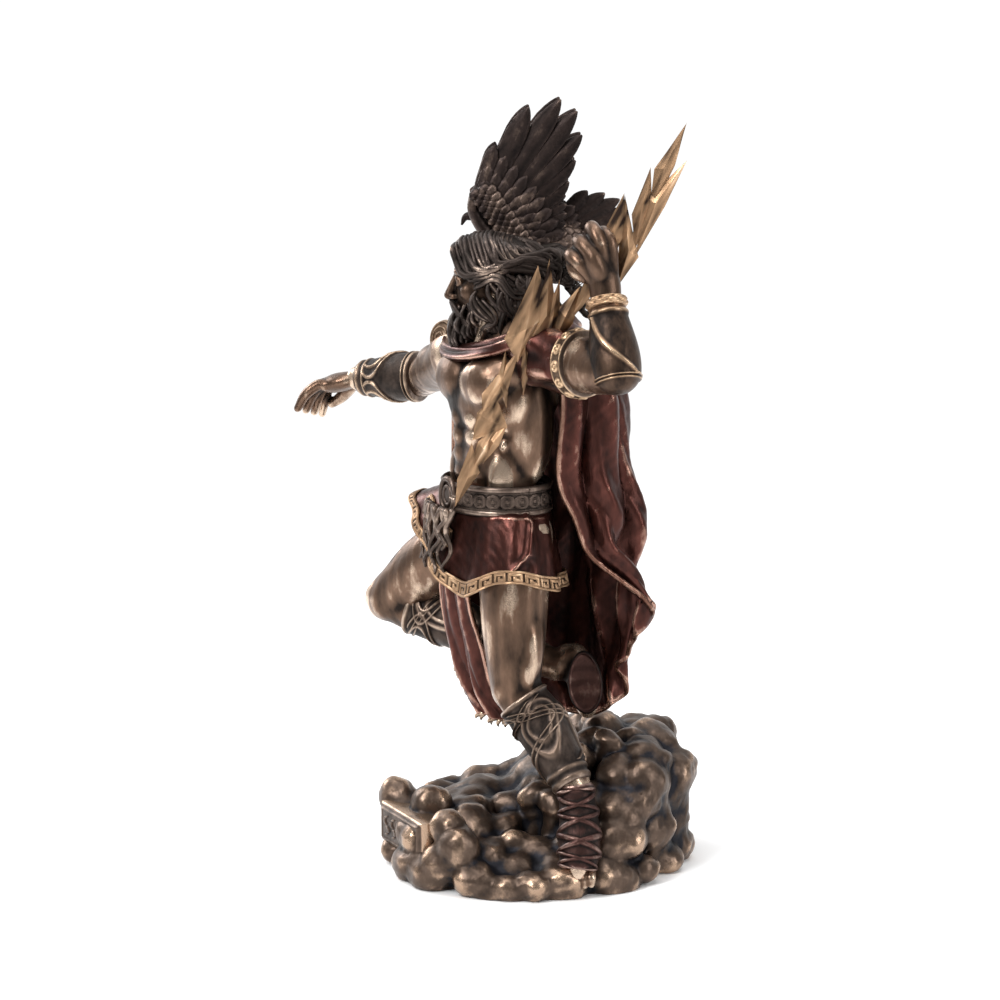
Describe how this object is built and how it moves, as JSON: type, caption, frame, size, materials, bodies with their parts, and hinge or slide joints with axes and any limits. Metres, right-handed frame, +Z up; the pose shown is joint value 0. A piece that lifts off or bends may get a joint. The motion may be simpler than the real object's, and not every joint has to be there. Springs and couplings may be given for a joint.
{
  "type": "statue",
  "caption": "Cast bronze-look statuette of a bearded god striding over a cloud base with a raised thunderbolt, billowing cloak and an eagle at his shoulder",
  "frame": {"origin": "middle of the flat underside", "axes": "+Z up; the figure's chest faces -Y; its left arm, with the thunderbolt, is on the +X side"},
  "size_m": [0.2109, 0.1301, 0.3017],
  "materials": {
    "cloud_bronze": "aged bronze with slate-blue patina in the recesses",
    "aged_bronze": "dark aged bronze, rubbed bright on the high places, red-brown cloth",
    "dark_bronze": "near-black bronze with rubbed feather tips",
    "gold_bronze": "dull gold bronze"
  },
  "bodies": {
    "root": {"cloud_base": "cloud_bronze", "zeus_figure": "aged_bronze", "eagle": "dark_bronze", "thunderbolt": "gold_bronze"}
  },
  "joints": []
}
